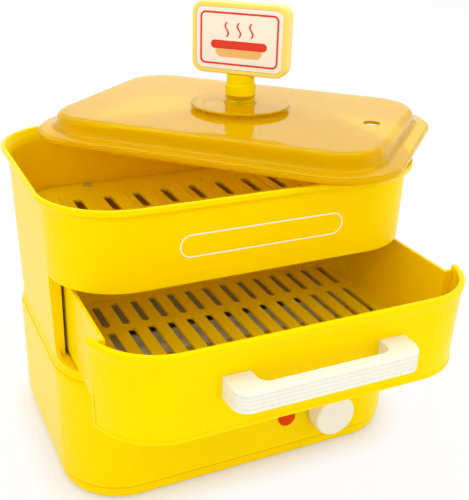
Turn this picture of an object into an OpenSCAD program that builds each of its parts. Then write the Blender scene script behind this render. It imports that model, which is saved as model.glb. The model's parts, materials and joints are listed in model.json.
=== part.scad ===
// Countertop hot dog steamer: a heated base, a steam housing with a pull-out drawer, and a lift-off lid.
// Millimetres. Front faces -Y, up is +Z, and the origin is on the table under the middle of the base.

/* [Body] */
// Outer width of the base
base_w = 277.4; // [270:0.1:290]
// Outer depth of the base
base_d = 203.4; // [196:0.1:216]
// Corner radius of the base, seen from above
base_r = 48.5; // [44:0.1:52]
// Height of the base casing, where the steam housing sits on it
base_top = 97.5; // [94:0.1:100]
// Height of the plinth that carries the base
plinth_top = 10; // [8:0.5:12]
// How far the steam housing stands in from the base, all round
house_inset = 2.5; // [2:0.1:3]
// Height of the rim above the table
rim_top = 228; // [224:0.1:240]
// Wall thickness of the mouldings
wall = 2.6; // [2:0.1:3]

/* [Drawer] */
// How far the drawer is pulled out
drawer_out = 81.4; // [0:0.1:110]
// Half the outer width of the drawer box between its side walls
box_half_w = 127.2; // [124:0.1:127.2]
// Height of the drawer box's walls
box_top = 164.3; // [150:0.1:164.5]
// Height of the front panel's lower edge
panel_low = 106.1; // [105:0.1:108]
// Height of the front panel's upper edge
panel_high = 167.3; // [160:0.1:167.5]
// How far behind its own front the panel wraps round the corners
panel_wrap = 39.6; // [30:0.1:40]
// Where the sides of the opening end
opening_y = -54; // [-54:1:-50]

/* [Handle] */
// Overall width of the handle
handle_w = 130.6; // [100:0.1:150]
// Height of the handle's underside
handle_low = 131.7; // [122:0.1:138]
// Height of the bar, top to bottom
handle_h = 14.1; // [12:0.1:18]
// How far the handle stands out from the panel
handle_out = 23.9; // [20:0.1:30]
// Front-to-back thickness of the bar
bar_t = 8.8; // [7:0.1:11]
// Width of each leg
leg_w = 19; // [14:0.5:24]
// Ribs on the front of the bar
rib_count = 5; // [3:1:7]

/* [Lid] */
// Outer width of the lid
lid_w = 286; // [280:0.5:288]
// Outer depth of the lid
lid_d = 210; // [204:0.5:214]
// Corner radius of the lid, seen from above
lid_r = 50; // [46:0.5:54]
// How far to the right the middle of the lid lies
lid_x = 40; // [34:0.5:42]
// How far to the back the middle of the lid lies
lid_y = 24; // [20:0.5:26]
// How far the lid is turned on the rim
lid_turn = -45.8; // [-50:0.1:-38]
// Gap between the lid and the rim that it lies on
lid_gap = 0.3; // [0.3:0.1:1]
// Depth of the ring under the lid that centres it in the rim
ring_deep = 5; // [3:0.5:6]
// Radius of the steam vent
vent_r = 6.5; // [4:0.5:8]

/* [Sign] */
// Width of the sign board
board_w = 78; // [60:0.5:96]
// Height of the sign board
board_h = 54; // [44:0.5:62]
// Thickness of the sign board
board_t = 14; // [13:0.1:18]
// Height of the sign board's middle above the lid's lower edge
board_mid = 71; // [68:1:76]

/* [Controls] */
// How far to the right of the middle the knob sits
knob_x = 63; // [60:0.5:66]
// Height of the knob's and the lamp's middle
controls_z = 38; // [36:0.5:40]
// Radius of the knob
knob_r = 14.6; // [12:0.1:17]
// How far to the right of the middle the lamp sits
lamp_x = 27; // [24:0.5:30]
// Radius of the lamp lens
lens_r = 7; // [5:0.1:9]

/* [Water tank] */
// Outer width of the tank under its flange
tank_w = 200; // [180:1:204]
// Outer depth of the tank under its flange
tank_d = 130; // [124:1:132]
// Radius of the heating plate
plate_r = 48; // [40:1:54]

/* [Hidden] */

yellow = [1, 0.85, 0];
cream = [0.98, 0.96, 0.9];
amber = [0.95, 0.78, 0.2, 0.8];
black = [0.12, 0.12, 0.12];
metal = [0.75, 0.76, 0.78];
brass = [0.8, 0.65, 0.3];
round_fn = 96;
small_fn = 48;
eps = 0.01;

panel_z = [panel_low, panel_high];
opening_z = [104, 168.2];
handle_z = [handle_low, handle_low + handle_h];
lid_at = [lid_x, lid_y];
board = [board_w, board_h, board_t];
knob_at = [knob_x, controls_z];
lamp_at = [lamp_x, controls_z];
tank = [tank_w, tank_d];
foot_h = 1.5;
deck_z = base_top - wall;
house_w = base_w - 2 * house_inset;
house_d = base_d - 2 * house_inset;
house_r = base_r;
flare_z = rim_top - 9.5;
front_wall_y = -base_d / 2;
post_at = [112, 76];
foot_at = [100, 64];
post_split = plinth_top + 2.2;
runner_y = [-72, 80];
runner_top = 105.3;
tank_floor_z = 54;
tank_r = 18;
steam_slot = [156, 19];
steam_slot_r = 8;
element_r = 34;
element_tube_r = 3.6;
plate_under_z = 47.6;
clamp_z = 37;
clamp_boss_x = 57;
ledge_z = 173.3;
rack_t = 2.5;
closed_panel_d = house_d + 2;
box_back = 90;
web_y = -closed_panel_d / 2 + panel_wrap;
drawer_travel = 111.4;
stop_inner_y = -66.2;
lid_z = rim_top + ring_deep + lid_gap;
neck_r = 10.5;
handle_face_y = -closed_panel_d / 2 + 0.9;
handle_front_y = handle_face_y - handle_out;

// A rounded rectangle standing on the XY plane, with true arcs for corners.
module rounded_slab(w, d, r, h) {
    linear_extrude(h) rounded_plan(w, d, r);
}

module rounded_plan(w, d, r) {
    square([w - 2 * r, d], center = true);
    square([w, d - 2 * r], center = true);
    for (x = [-1, 1])
        for (y = [-1, 1])
            translate([x * (w / 2 - r), y * (d / 2 - r)]) circle(r, $fn = round_fn);
}

// Sweeps a wall section round a rounded rectangle. The section's X is the distance outside the
// outline, and its Y is the height.
module swept_wall(w, d, r) {
    corners = [[1, 1, 0], [-1, 1, 90], [-1, -1, 180], [1, -1, 270]];
    for (c = corners)
        translate([c[0] * (w / 2 - r), c[1] * (d / 2 - r), 0]) rotate([0, 0, c[2]])
            rotate_extrude(angle = 90, $fn = round_fn) translate([r, 0]) children();
    for (turn = [0, 180])
        rotate([0, 0, turn]) {
            translate([w / 2, d / 2 - r, 0]) rotate([90, 0, 0]) linear_extrude(d - 2 * r) children();
            rotate([0, 0, 90]) translate([d / 2, w / 2 - r, 0]) rotate([90, 0, 0])
                linear_extrude(w - 2 * r) children();
        }
}

module at_corners(p) {
    for (x = [-1, 1])
        for (y = [-1, 1])
            translate([x * p[0], y * p[1], 0]) children();
}

// A hole or bar along -Y from the front wall.
module toward_front(x, z, y) {
    translate([x, y, z]) rotate([90, 0, 0]) children();
}

// The lower casing: wall with a soft shoulder, deck with the tank opening, drawer runners, screw posts.
module base_shell() {
    lip_in = -5;
    rib = [[-3, deck_z], [-3, base_top + 3.5], [-5, base_top + 3.5], [-5, deck_z]];
    section = [[lip_in, plinth_top], [-0.8, plinth_top], [0, plinth_top + 0.8], [0, base_top - 6],
        [-0.2, base_top - 3.8], [-0.8, base_top - 1.8], [-1.7, base_top - 0.5], [-2.6, base_top],
        [-12, base_top], [-12, deck_z], [-wall, deck_z], [-wall, plinth_top + 2], [lip_in, plinth_top + 2]];
    color(yellow) difference() {
        union() {
            swept_wall(base_w, base_d, base_r) polygon(section);
            swept_wall(house_w, house_d, house_r) polygon(rib);
            translate([0, 0, deck_z]) difference() {
                rounded_slab(base_w - 16, base_d - 16, base_r - 8, wall);
                translate([0, 0, -1]) rounded_slab(tank[0] + 2, tank[1] + 2, tank_r + 1, wall + 2);
            }
            for (x = [-1, 1])
                translate([x * 118 - 2, runner_y[0], base_top - eps])
                    cube([4, runner_y[1] - runner_y[0], runner_top - base_top]);
            at_corners(post_at) translate([0, 0, post_split]) cylinder(r = 5, h = deck_z - post_split + 1,
                $fn = small_fn);
        }
        at_corners(post_at) translate([0, 0, post_split - 1]) cylinder(r = 1.85, h = 18, $fn = small_fn);
        toward_front(knob_at[0], knob_at[1], front_wall_y + wall + 1) cylinder(r = 5, h = wall + 2,
            $fn = small_fn);
        toward_front(lamp_at[0], lamp_at[1], front_wall_y + wall + 1) cylinder(r = 5.6, h = wall + 2,
            $fn = small_fn);
        toward_front(-60, 30, base_d / 2 + 1) cylinder(r = 6.5, h = wall + 2, $fn = small_fn);
    }
}

// The plinth: a shallow tray that the base stands on, with posts for its screws and vents.
module base_plate() {
    plate_w = base_w - 7.5;
    plate_d = base_d - 7.5;
    section = [[-3, foot_h], [-1, foot_h], [0, foot_h + 1], [0, plinth_top], [-3, plinth_top]];
    color(yellow) difference() {
        union() {
            swept_wall(plate_w, plate_d, base_r - 3.75) polygon(section);
            translate([0, 0, foot_h]) rounded_slab(plate_w - 2, plate_d - 2, base_r - 4.75, 2.5);
            at_corners(post_at) translate([0, 0, foot_h]) cylinder(r = 6, h = post_split - foot_h,
                $fn = small_fn);
        }
        at_corners(post_at) {
            cylinder(r = 2.1, h = 40, $fn = small_fn);
            translate([0, 0, foot_h - 1]) cylinder(r = 4, h = 5.5, $fn = small_fn);
        }
        at_corners(foot_at) translate([0, 0, foot_h - 1]) cylinder(r = 8.3, h = 2, $fn = small_fn);
        for (i = [-3:3])
            translate([i * 11 - 2, -22, 0]) cube([4, 44, 10]);
    }
}

module rubber_feet() {
    color(black) at_corners(foot_at) {
        cylinder(r1 = 7.4, r2 = 8, h = 0.6, $fn = small_fn);
        translate([0, 0, 0.6]) cylinder(r = 8, h = foot_h + 0.3, $fn = small_fn);
    }
}

module screw(head_r, head_h, shank_r, length) {
    difference() {
        union() {
            cylinder(r = head_r, h = head_h, $fn = small_fn);
            cylinder(r = shank_r, h = head_h + length, $fn = small_fn);
        }
        for (turn = [0, 90])
            rotate([0, 0, turn]) translate([-head_r * 0.55, -0.4, -1]) cube([head_r * 1.1, 0.8, 1.9]);
    }
}

module base_screws() {
    color(metal) at_corners(post_at) translate([0, 0, foot_h + 1.1]) screw(3.6, 2.4, 1.8, 21);
}

// The upper casing: tapered walls, flared rim, and a front opening that wraps round both corners,
// framed by inward returns. A ledge inside carries the bun rack.
module steam_housing() {
    top = rim_top;
    taper = 2.8;
    section = [[-wall, base_top], [1.2, base_top], [1.5, base_top + 0.6], [1.4, base_top + 2],
        [0.4, base_top + 5.4], [0, base_top + 7], [taper, flare_z], [3.3, flare_z + 1.8],
        [4.6, flare_z + 3.6], [6.8, flare_z + 5], [7.6, flare_z + 5.8], [7.8, flare_z + 6.8],
        [7.8, top - 0.9], [7.4, top - 0.2], [6.8, top], [5.3, top], [4.5, top - 0.5], [2.6, top - 3.2],
        [1, top - 6], [0.3, top - 9], [-wall, base_top + 7]];
    sill = [[-1, base_top + 3.9], [-1, opening_z[0]], [-9, opening_z[0]], [-9, base_top + 3.9]];
    stop = [[-0.2, opening_z[1]], [-0.2, opening_z[1] + 2.4], [-6, opening_z[1] + 2.4], [-6, opening_z[1]]];
    ledge = [[-0.6, ledge_z - 2.5], [-0.6, ledge_z], [-7, ledge_z], [-7, ledge_z - 1.4]];
    color(yellow) difference() {
        union() {
            difference() {
                union() {
                    swept_wall(house_w, house_d, house_r) polygon(section);
                    intersection() {
                        swept_wall(house_w, house_d, house_r) polygon(stop);
                        translate([-200, -200, 0]) cube([400, 200 + opening_y + wall, 300]);
                    }
                }
                opening_cut();
            }
            intersection() {
                swept_wall(house_w, house_d, house_r) polygon(sill);
                translate([-200, -200, 0]) cube([400, 200 + opening_y + wall, 300]);
            }
            swept_wall(house_w, house_d, house_r) polygon(ledge);
            for (x = [-1, 1]) mirror([x < 0 ? 1 : 0, 0, 0])
                translate([129.5, opening_y, base_top + 3.9])
                    cube([house_w / 2 - 129.9, wall, opening_z[1] + 2.4 - base_top - 3.9]);
            at_rack_screws() translate([0, 0, ledge_z - 5]) cylinder(r = 3.6, h = 5, $fn = small_fn);
        }
        at_rack_screws() translate([0, 0, ledge_z - 6]) cylinder(r = 1.3, h = 7, $fn = small_fn);
    }
}

// The drawer opening, seen from the side, with round lower corners.
module opening_cut() {
    corner = 8;
    translate([-200, 0, 0]) rotate([90, 0, 90]) linear_extrude(400) {
        translate([-200, opening_z[0] + corner])
            square([200 + opening_y, opening_z[1] - opening_z[0] - corner]);
        translate([-200, opening_z[0]]) square([200 + opening_y - corner, corner + 1]);
        translate([opening_y - corner, opening_z[0] + corner]) circle(corner, $fn = small_fn);
    }
}

module at_rack_screws() {
    at_corners([70, house_d / 2 - 9.4]) children();
}

// The slotted shelf under the buns.
module bun_rack() {
    rack_w = house_w - 3.4;
    rack_d = house_d - 3.4;
    color(yellow) difference() {
        union() {
            translate([0, 0, ledge_z]) rounded_slab(rack_w, rack_d, house_r - 1.7, rack_t);
            for (i = [-4:4])
                translate([i * 25 - 1, -68, ledge_z + rack_t - eps]) cube([2, 136, 2.5]);
        }
        for (i = [-4:3])
            for (j = [-1:1])
                translate([i * 25 + 12.5, j * 44, ledge_z - 1]) slot(7, 34, rack_t + 2);
        at_rack_screws() translate([0, 0, ledge_z - 1]) cylinder(r = 1.7, h = rack_t + 2, $fn = small_fn);
    }
}

// A straight slot along Y with round ends.
module slot(w, length, h) {
    linear_extrude(h) {
        square([w, length - w], center = true);
        for (y = [-1, 1])
            translate([0, y * (length - w) / 2]) circle(w / 2, $fn = 24);
    }
}

module rack_screws() {
    color(metal) at_rack_screws() translate([0, 0, ledge_z + rack_t + 2]) rotate([180, 0, 0])
        screw(3, 2, 1.2, 6.5);
}

// The tray over the tank: a shallow pan with two steam slots whose collars keep the drips in.
module drip_tray() {
    tray_z = base_top + 1.4;
    pan_floor = 1.3;
    pan_deep = 6;
    wide = tank[0] - 8;
    deep = tank[1] - 8;
    color(cream) difference() {
        union() {
            translate([0, 0, tray_z]) rounded_slab(tank[0] + 10, tank[1] + 10, tank_r + 5, 1.3);
            translate([0, 0, tray_z - pan_deep]) rounded_slab(wide, deep, tank_r - 4, pan_deep + 1);
        }
        difference() {
            translate([0, 0, tray_z - pan_deep + pan_floor])
                rounded_slab(wide - 2.6, deep - 2.6, tank_r - 5.3, pan_deep + 3);
            at_steam_slots() translate([0, 0, tray_z - pan_deep])
                rounded_slab(steam_slot[0] + 3, steam_slot[1] + 3, steam_slot_r + 1.5, pan_deep + 0.6);
        }
        at_steam_slots() translate([0, 0, tray_z - pan_deep - 1])
            rounded_slab(steam_slot[0], steam_slot[1], steam_slot_r, pan_deep + 4);
    }
}

module at_steam_slots() {
    for (y = [-30, 30])
        translate([0, y, 0]) children();
}

// The reservoir: an open pan hung in the deck, with a hole in its floor for the heating plate.
module water_tank() {
    flange_z = base_top;
    color([0.85, 0.86, 0.86]) difference() {
        union() {
            translate([0, 0, flange_z]) rounded_slab(tank[0] + 12, tank[1] + 12, tank_r + 6, 1.4);
            translate([0, 0, tank_floor_z - 2])
                rounded_slab(tank[0], tank[1], tank_r, flange_z - tank_floor_z + 3);
            for (x = [-1, 1])
                translate([x * clamp_boss_x, 0, clamp_z + 3])
                    cylinder(r = 5, h = tank_floor_z - clamp_z - 4, $fn = small_fn);
        }
        translate([0, 0, tank_floor_z]) rounded_slab(tank[0] - 4, tank[1] - 4, tank_r - 2, 60);
        cylinder(r = plate_r - 6, h = 200, $fn = round_fn);
        for (x = [-1, 1])
            translate([x * clamp_boss_x, 0, clamp_z]) cylinder(r = 1.6, h = 13, $fn = small_fn);
    }
}

// The plate that boils the water: a flange under the tank floor and a disc up through its hole.
module heating_plate() {
    disc_top = tank_floor_z + 0.8;
    profile = [[0, plate_under_z], [plate_r, plate_under_z], [plate_r, plate_under_z + 3],
        [plate_r - 6.6, plate_under_z + 3], [plate_r - 6.6, disc_top - 0.6], [plate_r - 7.2, disc_top],
        [0, disc_top]];
    color(metal) rotate_extrude($fn = round_fn) polygon(profile);
}

module heating_element() {
    tube_z = plate_under_z - element_tube_r - 0.05;
    gap = 28;
    color(metal) translate([0, 0, tube_z]) {
        rotate([0, 0, 90 + gap / 2]) rotate_extrude(angle = 360 - gap, $fn = round_fn)
            translate([element_r, 0]) circle(element_tube_r, $fn = 32);
        for (turn = [90 - gap / 2, 90 + gap / 2])
            rotate([0, 0, turn]) translate([element_r, 0, 0]) rotate([turn > 90 ? 90 : -90, 0, 0]) {
                translate([0, 0, -0.5]) cylinder(r = 1.6, h = 6.5, $fn = 32);
            }
    }
}

module plate_seal() {
    color([0.8, 0.3, 0.2]) translate([0, 0, plate_under_z + 3]) difference() {
        cylinder(r = plate_r - 0.5, h = tank_floor_z - 2 - plate_under_z - 3, $fn = round_fn);
        translate([0, 0, -1]) cylinder(r = plate_r - 5.5, h = 6, $fn = round_fn);
    }
}

module heater_clamp() {
    color(metal) difference() {
        union() {
            translate([-64, -7, clamp_z]) cube([128, 14, 3]);
            translate([0, 0, clamp_z]) cylinder(r = 6, h = plate_under_z - clamp_z, $fn = small_fn);
        }
        for (x = [-1, 1])
            translate([x * clamp_boss_x, 0, clamp_z - 1]) cylinder(r = 1.9, h = 6, $fn = small_fn);
    }
}

module clamp_screws() {
    color(metal) for (x = [-1, 1])
        translate([x * clamp_boss_x, 0, clamp_z - 2.2]) screw(3.4, 2.2, 1.5, 11);
}

module thermostat() {
    color(metal) translate([0, 18.5, 0]) {
        translate([0, 0, plate_under_z - 4]) cylinder(r = 8.5, h = 4, $fn = small_fn);
        color(black) translate([0, 0, plate_under_z - 11]) cylinder(r = 7.4, h = 7, $fn = small_fn);
        for (x = [-1, 1])
            translate([x * 4.5 - 0.4, -2.5, plate_under_z - 18]) cube([0.8, 5, 8]);
    }
}

module thermal_fuse() {
    color(cream) translate([-8, -18, plate_under_z - 2.3]) rotate([0, 90, 0]) {
        cylinder(r = 2.2, h = 16, $fn = small_fn);
        translate([0, 0, -6]) cylinder(r = 0.6, h = 28, $fn = 24);
    }
}

// The switch behind the knob, with its threaded neck through the casing.
module timer_switch() {
    inner_y = front_wall_y + wall;
    color(black) difference() {
        union() {
            translate([knob_at[0] - 17, inner_y, knob_at[1] - 16]) cube([34, 26, 32]);
            toward_front(knob_at[0], knob_at[1], inner_y + 2)
                cylinder(r = 4.8, h = wall + 4.2, $fn = small_fn);
            for (x = [-8, 0, 8])
                translate([knob_at[0] + x - 2.5, inner_y + 25, knob_at[1] - 8]) cube([5, 8, 0.8]);
        }
        toward_front(knob_at[0], knob_at[1], inner_y + 18) cylinder(r = 3.05, h = 40, $fn = small_fn);
    }
}

module switch_nut() {
    color(metal) toward_front(knob_at[0], knob_at[1], front_wall_y) difference() {
        cylinder(r = 8, h = 2, $fn = 6);
        translate([0, 0, -1]) cylinder(r = 4.85, h = 4, $fn = small_fn);
    }
}

module knob_shaft() {
    color(brass) toward_front(knob_at[0], knob_at[1], front_wall_y + 16) difference() {
        cylinder(r = 3, h = 27, $fn = small_fn);
        translate([-4, 2, 19]) cube([8, 4, 9]);
    }
}

// A plain turned knob, hollow behind to clear the nut.
module control_knob() {
    back = 1.2;
    depth = 13.8;
    profile = [[0, 5], [9.6, 5], [9.6, 0], [knob_r - 0.8, 0], [knob_r - 0.2, 0.5], [knob_r, 1.5],
        [knob_r - 0.4, depth - 1.6], [knob_r - 0.8, depth - 0.6], [knob_r - 1.8, depth], [0, depth]];
    color(cream) toward_front(knob_at[0], knob_at[1], front_wall_y - back) difference() {
        rotate_extrude($fn = round_fn) polygon(profile);
        translate([0, 0, 4]) difference() {
            cylinder(r = 3.05, h = 6.2, $fn = small_fn);
            translate([-4, 2.05, 0]) cube([8, 4, 8]);
        }
    }
}

module indicator_lens() {
    profile = [[0, -7], [5.3, -7], [5.3, 0], [lens_r, 0], [lens_r, 0.9], [lens_r - 0.9, 1.5],
        [lens_r - 2.6, 2.2], [lens_r - 4.6, 2.6], [0, 2.8]];
    color([0.95, 0.2, 0.05]) toward_front(lamp_at[0], lamp_at[1], front_wall_y) difference() {
        rotate_extrude($fn = small_fn) polygon(profile);
        translate([0, 0, -8]) cylinder(r = 4, h = 7.5, $fn = small_fn);
    }
}

module lamp_holder() {
    color(black) toward_front(lamp_at[0], lamp_at[1], front_wall_y + 18) difference() {
        cylinder(r = 7.4, h = 18 - wall, $fn = small_fn);
        translate([0, 0, 7]) cylinder(r = 5.4, h = 20, $fn = small_fn);
        translate([0, 0, 3]) cylinder(r = 2.3, h = 20, $fn = small_fn);
    }
}

module lamp_bulb() {
    color("orange") toward_front(lamp_at[0], lamp_at[1], front_wall_y + 15) {
        cylinder(r = 2.2, h = 9, $fn = 32);
        translate([0, 0, 9]) sphere(r = 2.2, $fn = 32);
    }
}

module terminal_block() {
    color(cream) translate([-78, 52, foot_h + 2.5]) difference() {
        cube([36, 18, 13]);
        for (i = [0:2])
            translate([7 + i * 11, 9, 5]) cylinder(r = 3.2, h = 10, $fn = small_fn);
        for (i = [0:2])
            translate([7 + i * 11, -1, 4]) rotate([-90, 0, 0]) cylinder(r = 1.8, h = 30, $fn = small_fn);
    }
}

// The bush where a mains lead enters, in the back wall.
module cord_inlet() {
    color(black) toward_front(-60, 30, base_d / 2 + 2.2) difference() {
        union() {
            cylinder(r = 9.5, h = 2.2, $fn = small_fn);
            cylinder(r = 6.4, h = 9, $fn = small_fn);
        }
        translate([0, 0, -1]) cylinder(r = 3.8, h = 12, $fn = small_fn);
    }
}

// A wire swept along a list of points, one ring of sides square to the path at each.
function unit(v) = v / norm(v);
function path_dir(p, i) = unit((i == 0 ? p[1] - p[0] : unit(p[i] - p[i - 1]))
    + (i == len(p) - 1 ? p[i] - p[i - 1] : unit(p[min(i + 1, len(p) - 1)] - p[i])));
function ring_at(p, i, r, n) =
    let (t = path_dir(p, i), u = unit(cross(t, [0.31, 0.23, 0.92])), v = cross(t, u))
    [for (k = [0:n - 1]) p[i] + r * (cos(360 * k / n) * u + sin(360 * k / n) * v)];
module wire(p, r, n = 8) {
    last = len(p) - 1;
    points = [for (i = [0:last]) each ring_at(p, i, r, n)];
    sides = [for (i = [0:last - 1]) for (k = [0:n - 1])
        [i * n + k, (i + 1) * n + k, (i + 1) * n + (k + 1) % n, i * n + (k + 1) % n]];
    caps = [[for (k = [0:n - 1]) k], [for (k = [n - 1:-1:0]) last * n + k]];
    polyhedron(points, concat(sides, caps), convexity = 4);
}

module hookup_wires() {
    to_switch = [[-60, 51.5, 8], [-60, 40, 12], [-30, -40, 22], [30, -56, 26], [54, -58, 29.5],
        [55, -64, 29.5]];
    to_thermostat = [[-49, 51.5, 8], [-46, 40, 12], [-20, 26, 22], [-4.5, 18.5, 28.5]];
    to_fuse = [[63, -64, 29.5], [60, -50, 26], [34, -30, 30], [18, -20, 40], [14.6, -18, 45.3]];
    to_lamp = [[71, -64, 29.5], [66, -54, 20], [40, -60, 18], [27, -72, 30], [27, -82.8, 38]];
    fuse_to_element = [[-14.8, -18, 45.3], [-18.5, -18, 42], [-20, -14, 34], [-20, 0, 32], [-20, 16, 32],
        [-10, 30, 34], [-3.2, 34.4, 38], [-3.2, 34.4, 40.8]];
    thermostat_to_element = [[4.5, 18.5, 28.4], [7, 26, 27], [5, 32, 33], [3.2, 34.4, 38],
        [3.2, 34.4, 40.8]];
    color([0.85, 0.85, 0.8])
        for (p = [to_switch, to_thermostat, to_fuse, to_lamp, fuse_to_element, thermostat_to_element])
        wire(p, 1.2);
}

// The drawer, modelled shut and then pulled out: a panel that wraps round both corners with a
// lip at its top and bottom, joined by webs to a narrower box with a slotted floor.
module drawer_tray() {
    panel_w = house_w + 2;
    z0 = panel_z[0];
    z1 = panel_z[1];
    section = [[-4.8, z0], [-1.7, z0], [-1.2, z0 + 0.5], [-1.1, z0 + 1.3], [-1.3, z0 + 2.2], [-2.1, z0 + 3],
        [0, z1 - 7.4], [0.2, z1 - 6.4], [0.9, z1 - 5], [1.2, z1 - 3.4], [1.2, z1 - 1], [0.8, z1 - 0.3],
        [0.1, z1], [-2.2, z1], [-2.8, z1 - 0.4], [-3, z1 - 1.2], [-3, z1 - 4.5], [-2.6, z1 - 7.4]];
    box_d = box_back - web_y + 2.4;
    floor_z = z0 - 0.3;
    inner = box_half_w - 2.2;
    color(yellow) translate([0, -drawer_out, 0]) difference() {
        union() {
            intersection() {
                union() {
                    swept_wall(panel_w, closed_panel_d, house_r) polygon(section);
                    translate([0, 0, z0]) rounded_slab(panel_w - 8, closed_panel_d - 8, house_r - 4, 2.4);
                }
                translate([-200, -200, 0]) cube([400, 200 + web_y, 300]);
            }
            translate([0, box_back - box_d / 2, floor_z]) difference() {
                box_plan(2 * box_half_w, box_d, 38, box_top - floor_z);
                translate([0, -3, 2.4]) box_plan(2 * inner, box_d + 1.6, 35.8, 100);
            }
            for (x = [-1, 1]) mirror([x < 0 ? 1 : 0, 0, 0]) {
                translate([inner + 0.4, web_y - 2.4, z0])
                    cube([panel_w / 2 - 2.2 - inner - 0.4, 2.4, box_top - z0]);
                translate([inner, stop_inner_y + 0.5 + drawer_travel, box_top - eps]) cube([2.2, 6, 6.2]);
                translate([handle_w / 2 - leg_w / 2, handle_face_y, 0]) handle_pad();
            }
        }
        drawer_slots(floor_z);
        for (x = [-1, 1])
            toward_front(x * (handle_w / 2 - leg_w / 2), (handle_z[0] + handle_z[1]) / 2, handle_face_y + 8)
                cylinder(r = 2, h = 16, $fn = small_fn);
    }
}

// A plan with square front corners and round rear corners.
module box_plan(w, d, r, h) {
    linear_extrude(h) {
        translate([0, -r / 2]) square([w, d - r], center = true);
        translate([0, d / 2 - r / 2 - 0.5]) square([w - 2 * r, r + 1], center = true);
        for (x = [-1, 1])
            translate([x * (w / 2 - r), d / 2 - r]) circle(r, $fn = round_fn);
    }
}

// The raised pad round the end of each handle leg.
module handle_pad() {
    h = handle_z[1] - handle_z[0] + 3;
    translate([-leg_w / 2 - 1.5, -0.6, handle_z[0] - 1.5]) cube([leg_w + 3, 3.2, h]);
}

module drawer_slots(floor_z) {
    for (i = [-7:7])
        for (y = [-52, 12, 64])
            translate([i * 15.5, y, floor_z - 1]) slot(6, y == 64 ? 36 : 54, 6);
}

// The U handle: smooth legs and a bar with rounded ribs that follow its front corners.
module drawer_handle() {
    z0 = handle_z[0];
    h = handle_z[1] - handle_z[0];
    pitch = h / rib_count;
    depth = handle_out - 0.6;
    mid_y = handle_front_y + depth;
    ribs = [[-4, z0], for (i = [0:rib_count - 1]) each [[-0.9, z0 + i * pitch + 0.15],
        [-0.2, z0 + i * pitch + 0.6], [0, z0 + i * pitch + pitch / 2], [-0.2, z0 + (i + 1) * pitch - 0.6],
        [-0.9, z0 + (i + 1) * pitch - 0.15]], [-4, z0 + h]];
    color(cream) translate([0, -drawer_out, 0]) difference() {
        union() {
            translate([0, mid_y, z0]) rounded_slab(handle_w - 3, 2 * depth - 3, 8.5, h);
            translate([0, mid_y, 0]) swept_wall(handle_w, 2 * depth, 10) polygon(ribs);
        }
        translate([-200, handle_face_y - 0.6, 0]) cube([400, 100, 300]);
        translate([0, mid_y + 2, z0 - 1])
            rounded_slab(handle_w - 2 * leg_w, 2 * (depth - bar_t) + 4, 7, h + 2);
        for (x = [-1, 1])
            toward_front(x * (handle_w / 2 - leg_w / 2), z0 + h / 2, handle_face_y + 1)
                cylinder(r = 1.85, h = 15, $fn = small_fn);
    }
}

module handle_screws() {
    color(metal) translate([0, -drawer_out, 0]) for (x = [-1, 1])
        toward_front(x * (handle_w / 2 - leg_w / 2), (handle_z[0] + handle_z[1]) / 2, handle_face_y + 5.1)
            screw(3.8, 2.2, 1.8, 14);
}

module place_lid() {
    translate([lid_at[0], lid_at[1], lid_z]) rotate([0, 0, lid_turn]) children();
}

// The clear lid: turned-down skirt, flange, coved plateau, centring ring, round boss and hollow neck.
module lid_shell() {
    section = [[0, 0], [0, 4.6], [-0.5, 6.2], [-2, 7], [-8.6, 7.6], [-10.6, 8.4], [-12.2, 10.2],
        [-13.2, 12.4], [-14.4, 14.8], [-16.4, 16.5], [-19.5, 17.1], [-25, 17.1], [-25, 14.7], [-19.5, 14.7],
        [-17.4, 13.8], [-16, 12.2], [-15.2, 10.2], [-14.2, 7.8], [-12.4, 6.2], [-11.2, 5.6],
        [-11.2, -ring_deep], [-9.2, -ring_deep], [-9.2, 5], [-2.6, 4.6], [-2.5, 0]];
    boss = [[0, 17], [36.6, 17], [36.4, 18.4], [35.6, 20], [34, 21.2], [31, 21.6], [neck_r + 1.4, 21.6],
        [neck_r + 0.4, 22], [neck_r, 23], [neck_r, 31], [0, 31]];
    hollow = [[0, 14], [33.6, 14], [33.6, 17.4], [32, 18.8], [30, 19.2], [4.5, 19.2], [4.5, 20], [0, 20]];
    color(amber) place_lid() difference() {
        union() {
            swept_wall(lid_w, lid_d, lid_r) polygon(section);
            translate([0, 0, 14.7]) rounded_slab(lid_w - 48, lid_d - 48, lid_r - 24, 2.4);
            rotate_extrude($fn = round_fn) polygon(boss);
        }
        rotate_extrude($fn = round_fn) polygon(hollow);
        translate([0, 0, 19]) cylinder(r = 2.4, h = 20, $fn = small_fn);
        translate([0, 0, 24]) cylinder(r = 7.6, h = 20, $fn = small_fn);
        translate([107, 0, 10]) cylinder(r = vent_r, h = 12, $fn = small_fn);
    }
}

// The post: a spigot in the lid's neck, a visible collar, and a tongue up into the board.
module sign_post() {
    board_low = board_mid - board[1] / 2;
    profile = [[0, 24], [7.5, 24], [7.5, 31], [10.9, 31], [10.9, board_low - 2.6], [10.2, board_low - 1.6],
        [9.6, board_low - 0.05], [5, board_low - 0.05], [5, board_low + 12], [0, board_low + 12]];
    color(yellow) place_lid() difference() {
        rotate_extrude($fn = round_fn) polygon(profile);
        translate([0, 0, 23]) cylinder(r = 2.1, h = 16, $fn = small_fn);
    }
}

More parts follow.
